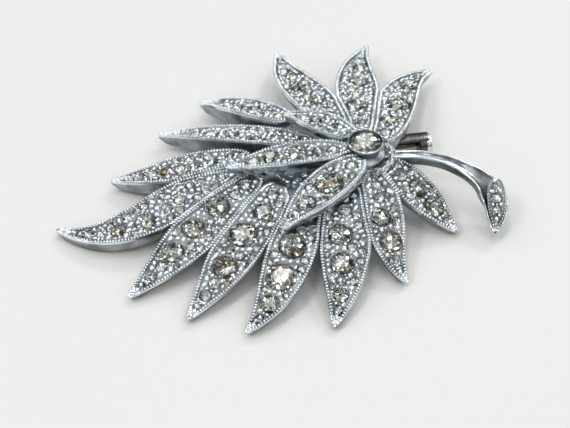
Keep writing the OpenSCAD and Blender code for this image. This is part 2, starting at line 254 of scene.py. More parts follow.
HUMP = 6.75  # t * t * (1 - t) times this rises to 1 at two thirds of a leaflet
ARCH = 4  # t * (1 - t) times this rises to 1 at its middle


def spine(leaf, t):
    """Point of a leaflet's rim plane over its middle line, at share t of its length."""
    heel, tip = Vector(leaf[0:3]), Vector(leaf[3:6])
    run = tip - heel
    side = Vector((run.y, -run.x, 0)).normalized()
    return (
        HUB
        + heel
        + run * t
        + side * leaf[SWEEP] * HUMP * t * t * (1 - t)
        + Vector((0, 0, leaf[CROWN] * ARCH * t * (1 - t)))
    )


def leaf_axes(leaf, t):
    """Directions across, along and up out of a leaflet."""
    along = (spine(leaf, min(t + 0.02, 1)) - spine(leaf, max(t - 0.02, 0))).normalized()
    level = Vector((along.y, -along.x, 0)).normalized()
    roll = math.radians(leaf[ROLL])
    across = level * math.cos(roll) + level.cross(along) * math.sin(roll)
    return across, along, across.cross(along)


def law_at(t, column):
    """A column of the width law at place t, with its corners rounded."""
    places = [row[0] for row in width_law]
    shares = [row[column] for row in width_law]
    near = [min(max(t + d, 0), 1) for d in (-0.02, -0.01, 0, 0.01, 0.02)]
    return float(np.mean(np.interp(near, places, shares)))


STEPS = 100  # places along a leaflet that its outline is kept at
RIM_SHARE = 0.55  # most of a half width that a rim takes, near the point
LEAST_FLANK = 0.12
BED_FROM, BED_TO = 0.03, 0.975
BED_EDGE = 0.05
LEAFLET_HEIGHT = 4.5  # farthest that a leaflet lies above what it covers


class Leaflet:
    """One leaflet of a table above, with what its outline, rims and bed are worked out from."""

    def __init__(self, leaf, rim=0.66, draft=0.8, beads_from=0.004):
        """Widths in millimetres; draft is the wall's foot as a share of the half width."""
        self.leaf = leaf
        self.rim = rim
        self.draft = draft
        self.beads_from = beads_from
        self.places = np.linspace(0, 1, STEPS + 1)
        axes = [leaf_axes(leaf, t) for t in self.places]
        self.middle = np.array([spine(leaf, t)[:] for t in self.places])
        self.across = np.array([a[0][:] for a in axes])
        self.up = np.array([a[2][:] for a in axes])
        self.half = np.array([leaf[WIDTH] / 2 * law_at(t, 1) for t in self.places])
        self.flanks = {1: self.half.copy(), -1: self.half.copy()}

    def local(self, points):
        """Nearest place on the middle line, distance to the side, height and distance in plan."""
        gap = points[:, None, :2] - self.middle[None, :, :2]
        near = (gap**2).sum(axis=2).argmin(axis=1)
        offset = points - self.middle[near]
        side = np.abs((offset * self.across[near]).sum(axis=1))
        rise = (offset * self.up[near]).sum(axis=1)
        return near, side, rise, np.linalg.norm(offset[:, :2], axis=1)

    def meet(self, neighbours, seam=0.05):
        """Ends this leaflet's sides where a neighbour's begin, with a narrow seam between."""
        never = 9
        shares = np.linspace(0.02, 1, 40)
        for side in (1, -1):
            reach = shares[None, :, None] * self.half[:, None, None]
            points = self.middle[:, None] + side * self.across[:, None] * reach
            taken = np.zeros(points.shape[:2], bool)
            for other in neighbours:
                near, aside, _, away = other.local(points.reshape(-1, 3))
                share = np.where(away < other.half[near] + 0.3, aside / other.half[near], never)
                taken |= share.reshape(taken.shape) < shares[None, :]
            first = np.where(taken.any(axis=1), taken.argmax(axis=1), len(shares) - 1)
            clear = np.where(taken.any(axis=1), shares[first] * self.half - seam, self.half)
            smooth = np.convolve(np.pad(clear, 3, mode="edge"), np.ones(7) / 7, mode="valid")
            self.flanks[side] = np.clip(np.minimum(smooth, self.half), LEAST_FLANK, None)

    def flank(self, t, side):
        """Half width on one side at place t."""
        return float(np.interp(t, self.places, self.flanks[1 if side > 0 else -1]))

    def rim_at(self, t, side):
        """Width of the rim on one side at place t, narrower towards the point."""
        return min(self.rim, self.flank(t, side) * RIM_SHARE)

    def covers(self, points):
        """True where this leaflet hides a point, but for a narrow margin under its edges."""
        near, side, rise, away = self.local(points)
        beside = (away < self.half[near] + 0.1) & (side < self.half[near] - 0.2)
        return beside & (rise < 0.05) & (rise > -LEAFLET_HEIGHT)

    def survey(self, above, discs, hub_radius, pitch=0.12):
        """Lists the points of the bed, those by the rims first, and the room left by the stones."""
        rows = []
        length = np.linalg.norm(self.middle[-1] - self.middle[0])
        for t in np.arange(BED_FROM, BED_TO, pitch / length):
            i = int(round(t * STEPS))
            low, high = (self.flank(t, side) - self.rim_at(t, side) for side in (-1, 1))
            for x in np.arange(-low, high, pitch):
                point = self.middle[i] + self.across[i] * x
                rows.append((min(high - x, low + x), t, *point, *self.up[i]))
        rows = np.array(sorted(rows))
        for other in above:
            rows = rows[~other.covers(rows[:, 2:5])]
        rows = rows[np.linalg.norm(rows[:, 2:4] - np.array(HUB[:2]), axis=1) > hub_radius]
        self.edge, self.points, self.ups = rows[:, 0], rows[:, 2:5], rows[:, 5:8]
        apart = np.linalg.norm(self.points[:, None] - discs[None, :, :3], axis=2) - discs[:, 3] / 2
        self.room = apart.min(axis=1)

    def fill(self, diameter, gap, drop):
        """Sets discs of one diameter wherever there is room: (centre, up, diameter) of each."""
        placed = []
        reach = diameter / 2
        free = (self.room > reach + gap) & (self.edge > reach + BED_EDGE)
        while free.any():
            i = free.argmax()
            point = self.points[i] - self.ups[i] * drop
            placed.append((Vector(point) * MM, Vector(self.ups[i]), diameter * MM))
            apart = np.linalg.norm(self.points - self.points[i], axis=1) - reach
            self.room = np.minimum(self.room, apart)
            free &= self.room > reach + gap
        return placed


# The walls of the sixth to ninth leaflet lean in more, and the eighth has a smooth heel.
SMOOTH_HEEL = 7
FROM_HEEL = 0.004
lower_leaflets = [
    Leaflet(
        leaf,
        draft=0.7 if 5 <= i <= 8 else 0.8,
        beads_from=0.1 if i == SMOOTH_HEEL else FROM_HEEL,
    )
    for i, leaf in enumerate(outer_leaves)
]
upper_drafts = (0.64, 0.8, 0.86)
upper_leaflets = [Leaflet(leaf, draft=draft) for leaf, draft in zip(upper_leaves, upper_drafts)]
plate_leaflet = Leaflet(plate, rim=0.3)
for tier in (lower_leaflets, upper_leaflets):
    for leaflet in tier:
        leaflet.meet([other for other in tier if other is not leaflet])

girdles = np.array([[*(centre / MM), diameter / MM] for centre, _, diameter in stones])
BOSS_RADIUS = 3.1
CUP_CLEAR = 2.7
for leaflet in lower_leaflets:
    leaflet.survey(upper_leaflets, girdles, BOSS_RADIUS)
for leaflet in [*upper_leaflets, plate_leaflet]:
    leaflet.survey([], girdles, CUP_CLEAR)
leaflets = lower_leaflets + upper_leaflets + [plate_leaflet]
chip_stones = [
    chip for leaflet in leaflets for chip in leaflet.fill(diameter=1.3, gap=0.24, drop=0.3)
]
GRAIN_SIZES = (0.9, 0.72, 0.56, 0.42)
grains = [
    grain
    for size in GRAIN_SIZES
    for leaflet in leaflets
    for grain in leaflet.fill(diameter=size, gap=0, drop=0.16)
]


def wall_side(half, rim, deep, wall, draft):
    """One side of a leaflet's section: drafted wall, rounded rim and the edge of the bed."""
    return [
        (draft * half, -wall),
        ((draft + 0.07) * half, -wall + 0.12),
        (half - 0.03, -0.3),
        (half - 0.2 * rim, -0.05),
        (half - 0.5 * rim, 0.0),
        (half - 0.85 * rim, -0.05),
        (half - rim, -deep),
    ]


def circle(corners):
    """Cosine and sine of each corner of a round section."""
    turns = [math.tau * i / corners for i in range(corners)]
    return [(math.cos(turn), math.sin(turn)) for turn in turns]


def swept(name, rows, corners, ring_at):
    """A closed skin: a tube of so many rows and corners, set ring by ring in their places."""
    bpy.ops.object.select_all(action="DESELECT")
    bpy.ops.mesh.primitive_cylinder_add(vertices=corners, radius=0.5, depth=1, end_fill_type="NGON")
    piece = bpy.context.object
    piece.name = name
    bpy.ops.object.mode_set(mode="EDIT")
    shape = bmesh.from_edit_mesh(piece.data)
    bpy.ops.mesh.select_all(action="DESELECT")
    for edge in shape.edges:
        edge.select = abs(edge.verts[0].co.z - edge.verts[1].co.z) > 0.5
    bmesh.update_edit_mesh(piece.data)
    bpy.ops.mesh.subdivide(number_cuts=rows - 2)
    shape = bmesh.from_edit_mesh(piece.data)
    shape.verts.ensure_lookup_table()
    first = math.atan2(shape.verts[0].co.y, shape.verts[0].co.x)
    rings = {}
    for vert in shape.verts:
        row = round((vert.co.z + 0.5) * (rows - 1))
        turn = (math.atan2(vert.co.y, vert.co.x) - first) / (2 * math.pi / corners)
        rings.setdefault(row, ring_at(row / (rows - 1)))
        vert.co = rings[row][round(turn) % corners] * MM
    bpy.ops.mesh.select_all(action="SELECT")
    bpy.ops.mesh.normals_make_consistent(inside=False)
    bpy.ops.object.mode_set(mode="OBJECT")
    return piece


def as_active(piece):
    """Leaves one object selected and active, as the operators want it."""
    bpy.ops.object.select_all(action="DESELECT")
    piece.select_set(True)
    bpy.context.view_layer.objects.active = piece


def joined(name, parts):
    """Joins objects into one piece."""
    as_active(parts[0])
    for part in parts:
        part.select_set(True)
    bpy.ops.object.join()
    parts[0].name = name
    parts[0].data.name = name
    return parts[0]


def copied(blank, matrix):
    """A copy of a modelled blank with its own mesh, set in its place."""
    copy = bpy.data.objects.new(blank.name, blank.data.copy())
    copy.data.transform(matrix)
    bpy.context.collection.objects.link(copy)
    return copy


def upright(centre, axis, size=1.0):
    """The place of a thing whose own z axis is to point along axis."""
    turn = axis.to_track_quat("Z", "Y").to_matrix().to_4x4()
    return Matrix.Translation(centre) @ turn @ Matrix.Scale(size, 4)


LEAF_ROWS, LEAF_CORNERS = 69, 14
HEEL_CROWDING = 1.35  # rows lie closer together at the heel
WALL_ROUNDS_FROM = 0.96
RIMS_MEET_AT = 0.94
WALL_BELOW = -0.25


def cast_leaflet(name, leaflet, wall_heel=2.1, wall_tip=1.2, deep=0.2, flank=cast, bed=painted_shade):
    """One leaflet with its walls, rims and bed, as it comes from the mould."""
    leaf = leaflet.leaf

    def ring_at(row):
        t = row**HEEL_CROWDING
        wall = wall_heel + (wall_tip - wall_heel) * t + leaf[BELLY] * HUMP * t * t * (1 - t)
        wall *= 1 - 0.5 * max(t - WALL_ROUNDS_FROM, 0) / (1 - WALL_ROUNDS_FROM)
        across, _, up = leaf_axes(leaf, t)
        bed_depth = deep * law_at(t, 2)
        sides = {
            side: wall_side(
                leaflet.flank(t, side), leaflet.rim_at(t, side), bed_depth, wall, leaflet.draft
            )
            for side in (1, -1)
        }
        ring = []
        for x, z in sides[1] + [(-x, z) for x, z in reversed(sides[-1])]:
            point = spine(leaf, t) + across * x + up * z
            point.z = max(point.z, 0.0)
            ring.append(point)
        return ring

    piece = swept(name, LEAF_ROWS, LEAF_CORNERS, ring_at)
    for finish in (polished, flank, seat_shade, bed, beaded):
        piece.data.materials.append(finish)
    heel = spine(leaf, 0)
    run = spine(leaf, 1) - heel
    for face in piece.data.polygons:
        point = face.center / MM
        t = min(max((point - heel).dot(run) / run.length_squared, 0), 1)
        across, _, up = leaf_axes(leaf, t)
        offset = point - spine(leaf, t)
        side = offset.dot(across)
        inward = leaflet.flank(t, side) - abs(side)
        under_beads = t > leaflet.beads_from and inward > 0.2 * leaflet.rim_at(t, side)
        on_bed = inward > leaflet.rim_at(t, side) + BED_EDGE
        # Painted shade: the walls take the darker flank plating, and the bed and the rims under the
        # beads the darker bed plating.
        if offset.dot(up) < WALL_BELOW:
            face.material_index = 1
        elif t < RIMS_MEET_AT and (under_beads or on_bed):
            face.material_index = 3
        elif t < leaflet.beads_from:
            face.material_index = 4
    return piece


BURR_ROWS, BURR_CORNERS = 6, 20
GIRDLE_ROW = 2.4  # the burr below this leaves the seat, above it the bright bevel


def burr_ring(t):
    """Rings of the blank burr: a unit radius at heights 0 to 5, which each copy is set from."""
    row = round(t * (BURR_ROWS - 1))
    return [Vector((x, y, row)) for x, y in circle(BURR_CORNERS)]


burr_blank = swept("burr", BURR_ROWS, BURR_CORNERS, burr_ring)
burr_blank.data.materials.append(polished)
burr_blank.data.materials.append(seat_shade)
# The cone of each seat takes the painted shade, the bevel above the girdle the polished plating.
for face in burr_blank.data.polygons:
    face.material_index = int(face.center.z < GIRDLE_ROW * MM)


LARGE_STONE = 1.75 * MM


def burr(centre, axis, diameter):
    """A burr for one stone's seat: a cone up to the girdle, then a short bright bevel."""
    reach = diameter / 2
    deep = (0.31 if diameter > LARGE_STONE else 0.45) * diameter
    profile = [
        (0.03 * MM, -deep),
        (reach * 0.5, -deep * 0.55),
        (reach + 0.09 * MM, -0.03 * MM),
        (reach + 0.1 * MM, 0.03 * MM),
        (reach + 0.19 * MM, 0.12 * MM),
        (reach + 0.19 * MM, 1.2 * MM),
    ]
    cutter = bpy.data.objects.new("burr", burr_blank.data.copy())
    for vert in cutter.data.vertices:
        r, z = profile[round(vert.co.z / MM)]
        flat = Vector((vert.co.x, vert.co.y)).normalized() * r
        vert.co = (flat.x, flat.y, z)
    cutter.data.transform(upright(centre, axis))
    return cutter


burrs = bpy.data.collections.new("burrs")
burr_list = [(burr(*stone), stone) for stone in stones + chip_stones]


def with_seats(leaflet):
    """Cuts the seats of all stones that reach into a leaflet's metal."""
    corners = np.array([corner[:] for corner in leaflet.bound_box])
    low, high = corners.min(axis=0), corners.max(axis=0)
    for cutter, (centre, _, diameter) in burr_list:
        if all(low[i] - diameter < centre[i] < high[i] + diameter for i in range(3)):
            burrs.objects.link(cutter)
    as_active(leaflet)
    cut = leaflet.modifiers.new("seats", "BOOLEAN")
    cut.operation = "DIFFERENCE"
    cut.solver = "MANIFOLD"
    cut.operand_type = "COLLECTION"
    cut.collection = burrs
    bpy.ops.object.modifier_apply(modifier="seats")
    for cutter in list(burrs.objects):
        burrs.objects.unlink(cutter)
    return leaflet


def tie(ends, finish):
    """Metal between two upright round pads: middle, radius and depth of each in millimetres."""
    bpy.ops.object.select_all(action="DESELECT")
    for i, (middle, radius, depth) in enumerate(ends):
        bpy.ops.mesh.primitive_cylinder_add(
            vertices=12, radius=radius * MM, depth=depth * MM, location=middle * MM
        )
        if i == 0:
            bpy.ops.object.transform_apply(location=True)
            bpy.ops.object.mode_set(mode="EDIT")
    bpy.ops.mesh.select_all(action="SELECT")
    bpy.ops.mesh.convex_hull()
    bpy.ops.mesh.normals_make_consistent(inside=False)
    bpy.ops.object.mode_set(mode="OBJECT")
    made = bpy.context.object
    made.data.materials.append(finish)
    return made


def web(leaf):
    """Metal under a leaflet's bed, from its heel to the backbone."""
    root = HUB + Vector((leaf[BACKBONE], 0, 6.5 + 0.08 * leaf[BACKBONE] - 0.8))
    pad = spine(leaf, 0.14) - Vector((0, 0, 2.0))
    return tie([(pad, 1.6, 0.9), (root, 2.1, 1.6)], cast)


def turned(name, profile, corners, finish):
    """A turned piece on the hub's axis, from (radius, height) points in millimetres."""

    def ring_at(t):
        r, z = profile[round(t * (len(profile) - 1))]
        return [HUB + Vector((r * x, r * y, z)) for x, y in circle(corners)]

    piece = swept(name, len(profile), corners, ring_at)
    piece.data.materials.append(finish)
    return piece


lower_parts = [with_seats(cast_leaflet("leaflet", leaflet)) for leaflet in lower_leaflets]
lower_parts += [web(leaf) for leaf in outer_leaves]
# A low plate closes the gap between the heels of the seventh and eighth leaflet.
infill_ends = [
    (HUB + Vector((-10, -4.7, 4.95)), 1.45, 1.46),
    (HUB + Vector((-11, -9.2, 4.85)), 0.65, 1.26),
]
lower_parts.append(tie(infill_ends, cast))
boss_profile = [
    (0.05, 4.6),
    (2.9, 4.6),
    (BOSS_RADIUS, 4.8),
    (BOSS_RADIUS, 7.2),
    (2.9, 7.4),
    (0.05, 7.4),
]
lower_parts.append(turned("boss", boss_profile, 32, cast))


def lump(centre, size, finish, wave=0.0):
    """A rounded lump of metal in millimetres, size being its half axes; wave makes it uneven."""
    bpy.ops.object.select_all(action="DESELECT")
    bpy.ops.mesh.primitive_uv_sphere_add(segments=20, ring_count=12, radius=1)
    made = bpy.context.object
    for vert in made.data.vertices:
        x, y, z = vert.co
        swell = 1 + wave * math.sin(4 * x + centre.x) * math.cos(3 * y + centre.y)
        vert.co = (centre + swell * Vector((x * size[0], y * size[1], z * size[2]))) * MM
    made.data.materials.append(finish)
    return made


# The second leaflet ends in a small ball.
BALL = 0.47
lower_parts.append(lump(spine(outer_leaves[1], 1), (BALL, BALL, BALL), polished))
# Uneven lumps of solder sit round the boss, on the webs in front of it and on two heels.
UNEVEN = 0.2
for i, turn in enumerate((-64, -50, -36, -20, -3, 14, 30)):
    turn = math.radians(turn)
    reach = 3.75 + 0.25 * (i % 2)
    place = HUB + Vector((reach * math.cos(turn), reach * math.sin(turn), 7.6))
    lower_parts.append(lump(place, (0.54, 0.5, 0.7 + 0.15 * (i % 3)), beaded, UNEVEN))
for i in range(8):
    place = HUB + Vector((-12.6 + 0.95 * i, -2.1 - 1.0 * (i % 2), 5.3 + 0.05 * i))
    lower_parts.append(lump(place, (0.6, 0.5, 0.55), beaded, UNEVEN))
for i in range(6):
    leaf = outer_leaves[5 + i % 2]
    across, along, _ = leaf_axes(leaf, 0.1)
    place = spine(leaf, 0.1) + across * (0.9 * (i // 2) - 0.9) + along * 0.4 * (i % 3)
    lower_parts.append(lump(place, (0.5, 0.45, 0.4), beaded, UNEVEN))

# Two posts on the back carry the bar of the pin: place along the pin and top of each.
PIN_HEEL = HUB + Vector((-14, 5.6, 0))
PIN_TURN = math.radians(8)
POST_FOOT = 3.5
for reach, top in ((3, 5.0), (17, 5.6)):
    foot = PIN_HEEL + Vector((reach * math.cos(PIN_TURN), reach * math.sin(PIN_TURN), 0))
    bpy.ops.object.select_all(action="DESELECT")
    bpy.ops.mesh.primitive_cylinder_add(
        vertices=24,
        radius=1.3 * MM,
        depth=(top - POST_FOOT) * MM,
        location=(foot + Vector((0, 0, (top + POST_FOOT) / 2))) * MM,
    )
    bpy.ops.object.transform_apply(location=True)
    bpy.context.object.data.materials.append(cast)
    lower_parts.append(bpy.context.object)


# STEM
# A polished trough with two thin rims, bent to one side, that widens into a spoon. A drop-shaped
# plate with stones of its own is soldered into the spoon. The stem is cast with the hub.

# Middle between the rims x, y, height; width; depth.
stem_rows = [
    (1.5, 1.2, 7.0, 2.0, 2.2),
    (4.7, 0.7, 7.4, 1.48, 2.0),
    (7.8, 0.4, 7.7, 1.52, 1.9),
    (9.9, 0.05, 7.6, 1.58, 1.8),
    (11.9, -0.55, 7.5, 1.75, 1.8),
    (13.9, -1.45, 7.2, 2.13, 1.8),
    (15.7, -2.65, 6.9, 2.7, 1.8),
    (17.2, -3.8, 6.3, 3.33, 1.9),
    (18.2, -4.85, 5.4, 3.99, 2.0),
    (18.88, -6.4, 4.3, 3.74, 1.8),
    (18.9, -8.2, 3.1, 2.7, 1.5),
    (18.75, -9.5, 2.3, 1.48, 1.2),
    (18.6, -10.3, 1.9, 0.5, 1.0),
]


def stem_at(t):
    """A row of the stem between two of the table, on a smooth curve through them."""
    place = t * (len(stem_rows) - 1)
    i = min(int(place), len(stem_rows) - 2)
    f = place - i
    rows = [np.array(stem_rows[min(max(i + k, 0), len(stem_rows) - 1)]) for k in (-1, 0, 1, 2)]
    return 0.5 * (
        2 * rows[1]
        + (rows[2] - rows[0]) * f
        + (2 * rows[0] - 5 * rows[1] + 4 * rows[2] - rows[3]) * f * f
        + (3 * rows[1] - rows[0] - 3 * rows[2] + rows[3]) * f**3
    )


def stem_ring(t, rim=0.36, groove=0.7):
    """One section of the stem: the trough, its two rims and the walls outside."""
    row = stem_at(t)
    ahead, behind = stem_at(min(t + 0.01, 1)), stem_at(max(t - 0.01, 0))
    along = Vector(ahead[0:3] - behind[0:3]).normalized()
    across = Vector((along.y, -along.x, 0)).normalized()
    up = across.cross(along)
    w, h = row[3] / 2, row[4]
    r, g = min(rim, w * 0.6), min(groove, w * 0.6)
    right = [
        (0.2 * (w - r), -g),
        (0.55 * (w - r), -0.87 * g),
        (0.82 * (w - r), -0.55 * g),
        (w - r, -0.12),
        (w - 0.88 * r, -0.045),
        (w - 0.68 * r, -0.005),
        (w - 0.42 * r, -0.005),
        (w - 0.2 * r, -0.045),
        (w - 0.05 * r, -0.12),
        (w, -0.3),
        (0.9 * w, -0.6 * h),
        (0.6 * w, -h),
    ]
    return [
        HUB + Vector(row[0:3]) + across * x + up * z
        for x, z in right + [(-x, z) for x, z in reversed(right)]
    ]


STEM_ROWS, STEM_CORNERS = 73, 24
# Painted shade: the channel is a darker copy of the polished plating, darker again past each spoon
# mark, and the walls under the rims take the painted shade plating.
SPOON_FROM, SPOON_SHADE_FROM = 14.7, 15.9
shaded_mirror = plating("stem_plating_painted_shade", (0.6, 0.64, 0.67), (0.1, 0.105, 0.11), 0.05, 0.2, 0.25)
stem = swept("stem", STEM_ROWS, STEM_CORNERS, stem_ring)
for finish in (polished, shaded_mirror, cast, painted_shade):
    stem.data.materials.append(finish)
stem_middle = [stem_at(i / (STEM_ROWS - 1)) for i in range(STEM_ROWS)]
for face in stem.data.polygons:
    point = face.center / MM - HUB
    row = min(stem_middle, key=lambda row: (Vector(row[0:3]) - point).length)
    aside = (Vector(row[0:2]) - Vector(point[0:2])).length
    if face.normal.z > 0.1 and aside < row[3] / 2 - 0.3:
        face.material_index = 1 + int(point.x > SPOON_FROM) + int(point.x > SPOON_SHADE_FROM)
    elif row[2] - point.z > -WALL_BELOW:
        face.material_index = 3
lower_parts.append(stem)

lower_parts.append(with_seats(cast_leaflet("plate", plate_leaflet, 1.8, 1.0)))

CREASE = math.radians(35)
lower_casting = joined("lower_casting", lower_parts)
bpy.ops.object.shade_smooth_by_angle(angle=CREASE)
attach(lower_casting, "root")
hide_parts("leaf_casting")


# UPPER CASTING
# A second tier of three leaflets on a low foot, with the cup for the centre stone between them.
# It is cast apart, stone-set like the lower one and soldered onto the hub.

cup_profile = [
    (0.05, 7.5),
    (2.9, 7.5),
    (2.9, 8.2),
    (2.1, 8.6),
    (2.15, 9.1),
    (2.4, 9.7),
    (2.62, 10.1),
    (2.64, 10.4),
    (2.58, 10.54),
    (2.48, 10.6),
    (2.4, 10.5),
    (2.36, 10.0),
    (1.75, 9.2),
    (0.05, 8.9),
]

# Painted light: a lighter copy of the wall plating for the upper tier's walls, which catch more
# light.
lit_satin = plating("satin_plating_painted_light", (0.56, 0.6, 0.64), (0.32, 0.34, 0.37), 0.12, 0.3, 0.12)
upper_parts = [
    with_seats(cast_leaflet("leaflet", leaflet, flank=lit_satin, bed=cast))
    for leaflet in upper_leaflets
]
cup = turned("cup", cup_profile, 48, cast)
cup.data.materials.append(polished)
cup.data.materials.append(painted_shade)
CUP_RIM, CUP_PAINTED_SHADE = 10.3 * MM, 9.2 * MM
# The rim is polished; the flare under it takes the painted shade and the foot the cast plating.
for face in cup.data.polygons:
    height = face.center.z
    face.material_index = 1 if height > CUP_RIM else 2 if height > CUP_PAINTED_SHADE else 0
upper_parts.append(cup)
upper_casting = joined("upper_casting", upper_parts)
bpy.ops.object.shade_smooth_by_angle(angle=CREASE)
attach(upper_casting, "root")
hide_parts("upper_spray")


# BEADED RIMS
# A row of tiny beads rolled along every rim with a milgrain wheel, from heel to tip on both sides
# and round some of the heels. They stand in the rims' own metal, with larger ones at the tips.


def bead_blank(name, segments=8, rings=6):
    """A bead of unit radius, cut off below its middle and closed there."""
    bpy.ops.object.select_all(action="DESELECT")
    bpy.ops.mesh.primitive_uv_sphere_add(segments=segments, ring_count=rings, radius=1)
    bead = bpy.context.object
    bead.name = name
    bpy.ops.object.mode_set(mode="EDIT")
    bpy.ops.mesh.select_all(action="SELECT")
    bpy.ops.mesh.bisect(
        plane_co=(0, 0, -0.2), plane_no=(0, 0, 1), clear_inner=True, use_fill=True
    )
    bpy.ops.object.mode_set(mode="OBJECT")
    bead.data.materials.append(beaded)
    return bead


def on_rim(leaflet, t, share):
    """Point of a leaflet's rim at place t, with the way up; share runs from side to side."""
    across, _, up = leaf_axes(leaflet.leaf, t)
    keep = leaflet.flank(t, share) - leaflet.rim_at(t, share) / 2
    return spine(leaflet.leaf, t) + across * share * keep, up


def rim_runs(leaflet, round_heel):
    """Points along a leaflet's rims in millimetres, both from heel to tip, and round its heel."""
    places = np.linspace(leaflet.beads_from, 0.99, 120)
    runs = [[on_rim(leaflet, t, side) for t in places] for side in (1, -1)]
    if round_heel:
        runs.append([on_rim(leaflet, leaflet.beads_from, x) for x in np.linspace(-0.8, 0.8, 20)])
    return runs


def spaced(line, pitch):
    """Places at an even pitch along a line of points: point, way along, way up."""
    places, carried = [], 0.0
    for (a, up), (b, _) in zip(line, line[1:]):
        gap = (b - a).length
        while carried < gap:
            places.append((a + (b - a) * (carried / gap), (b - a).normalized(), up))
            carried += pitch
        carried -= gap
    return places


def rolled(point, along, up, size):
    """Place of a bead: its half axes along its rim, across it and up, in millimetres."""
    across = up.cross(along).normalized()
    turn = Matrix((along, across, along.cross(across))).transposed().to_4x4()
    return Matrix.Translation(point * MM) @ turn @ Matrix.Diagonal((*(Vector(size) * MM), 1))


BEAD_PITCH, BEAD_LONG, BEAD_HIGH = 0.45, 0.165, 0.22
BEADED_HEELS = (6, 8, 9, 10, 11, 12)
LUMPY_TIPS = (10, 11, 12)
# Place and size of the larger beads that close each tip, left and right of its middle in turn.
tip_beads = [(0.885, 0.28, -1), (0.915, 0.32, 1), (0.947, 0.42, -1), (0.978, 0.3, -1)]

bead = bead_blank("bead")
beads = []
for i, leaflet in enumerate(leaflets):
    size = (BEAD_LONG, leaflet.rim * 0.47, BEAD_HIGH)
    for run in rim_runs(leaflet, i in BEADED_HEELS):
        for point, along, up in spaced(run, BEAD_PITCH):
            beads.append(copied(bead, rolled(point - up * 0.02, along, up, size)))
    if leaflet is plate_leaflet:
        continue
    for t, size, side in tip_beads:
        across, along, up = leaf_axes(leaflet.leaf, t)
        point = spine(leaflet.leaf, t) - up * 0.1 + across * 0.12 * side
        beads.append(copied(bead, rolled(point, along, up, (size, size * 1.1, size))))
    for k in range(7 if i in LUMPY_TIPS else 0):
        t = 0.8 + 0.03 * k
        across, along, up = leaf_axes(leaflet.leaf, t)
        point = spine(leaflet.leaf, t) - across * (0.2 - 0.03 * k) * (-1) ** k
        beads.append(copied(bead, rolled(point, along, up, (0.32, 0.34, 0.42))))
# A row of four stands on the infill plate.
for i in range(4):
    point = HUB + Vector((-11.3 + 1.05 * i, -3.8 - 0.2 * i, 5.75))
    place = rolled(point, Vector((1, -0.2, 0)), Vector((0, 0, 1)), (0.5, 0.4, 0.5))
    beads.append(copied(bead, place))
bpy.data.objects.remove(bead)
beaded_rims = joined("beaded_rims", beads)
bpy.ops.object.shade_smooth()
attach(beaded_rims, "root")


# BEAD PRONGS
# Small beads of metal raised round every stone and pushed over its edge to hold it. Where two
# stones are neighbours, one bead holds both.

bead = bead_blank("prong", 6, 5)
prongs = []
for i, (point, up, size) in enumerate(grains):
    place = upright(point, up, size / 2)
    long, high = 1.1 + 0.3 * math.sin(5.3 * i), 0.75 + 0.2 * math.sin(3.1 * i)
    stretch = Matrix.Diagonal((long, 0.95, high, 1))
    prongs.append(copied(bead, place @ Matrix.Rotation(2.4 * i, 4, "Z") @ stretch))
bpy.data.objects.remove(bead)
bead_prongs = joined("bead_prongs", prongs)
bpy.ops.object.shade_smooth()
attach(bead_prongs, "root")


# STONES
# Round cut glass stones, clear with a champagne tint. The points are coated with silver foil and
# lacquer, which throws the light back up through the crown.


def chip_blank():
    """A small stone of unit diameter: a table and eight facets over an eight-sided point."""
    bpy.ops.object.select_all(action="DESELECT")
    bpy.ops.mesh.primitive_cone_add(
        vertices=8, radius1=0.5, radius2=0, depth=0.38, end_fill_type="NGON"
    )
    chip = bpy.context.object
    bpy.ops.object.mode_set(mode="EDIT")
    bpy.ops.mesh.select_all(action="SELECT")
    bpy.ops.transform.rotate(value=math.pi, orient_axis="X", center_override=(0, 0, 0))
    bpy.ops.transform.translate(value=(0, 0, -0.19))
    shape = bmesh.from_edit_mesh(chip.data)
    for face in shape.faces:
        face.select = len(face.verts) == 8
    for edge in shape.edges:
        edge.select = any(face.select for face in edge.link_faces) and edge.select
    bmesh.update_edit_mesh(chip.data)
    bpy.ops.mesh.inset(thickness=0.2, depth=0.16)
    bpy.ops.object.mode_set(mode="OBJECT")
    return chip


def brilliant_blank(crown=0.16, pavilion=0.22):
    """A brilliant of unit diameter: the hull of its table, kites, girdle, halves and point."""
    half_step = 22.5
    rings = [
        (8, 0.28, crown, 0),
        (8, 0.41, crown * 0.55, half_step),
        (16, 0.5, 0.0, 0),
        (16, 0.5, -0.02, 0),
        (8, 0.13, -pavilion * 0.78, 0),
        (3, 0.01, -pavilion, 0),
    ]
    bpy.ops.object.select_all(action="DESELECT")
    for i, (corners, radius, height, turn) in enumerate(rings):
        bpy.ops.mesh.primitive_circle_add(
            vertices=corners,
            radius=radius,
            location=(0, 0, height),
            rotation=(0, 0, math.radians(turn)),
        )
        if i == 0:
            bpy.ops.object.transform_apply(location=True, rotation=True)
            bpy.ops.object.mode_set(mode="EDIT")
    bpy.ops.mesh.select_all(action="SELECT")
    bpy.ops.mesh.convex_hull()
    bpy.ops.mesh.normals_make_consistent(inside=False)
    bpy.ops.object.mode_set(mode="OBJECT")
    return bpy.context.object


def clear_glass(name):
    """Glass with faint champagne streaks and worn facets that are a little less smooth."""
    finish, shader, place = new_finish(name)
    streak = speckle(place, 700, 1.0)
    tint = streak.node(
        "ShaderNodeValToRGB",
        {"stops": [(0.4, (0.98, 0.96, 0.91)), (0.6, (0.96, 0.98, 0.98))]},
        {"Fac": streak},
    )
    place.tree.links.new(tint.socket, shader.inputs["Base Color"])
    place.tree.links.new((0.03 * streak).socket, shader.inputs["Roughness"])
    shader.inputs["Transmission Weight"].default_value = 1.0
    shader.inputs["IOR"].default_value = 1.56
    return finish


FLATS_PER_METRE = 1800
FLATS_LEAN = 1.25


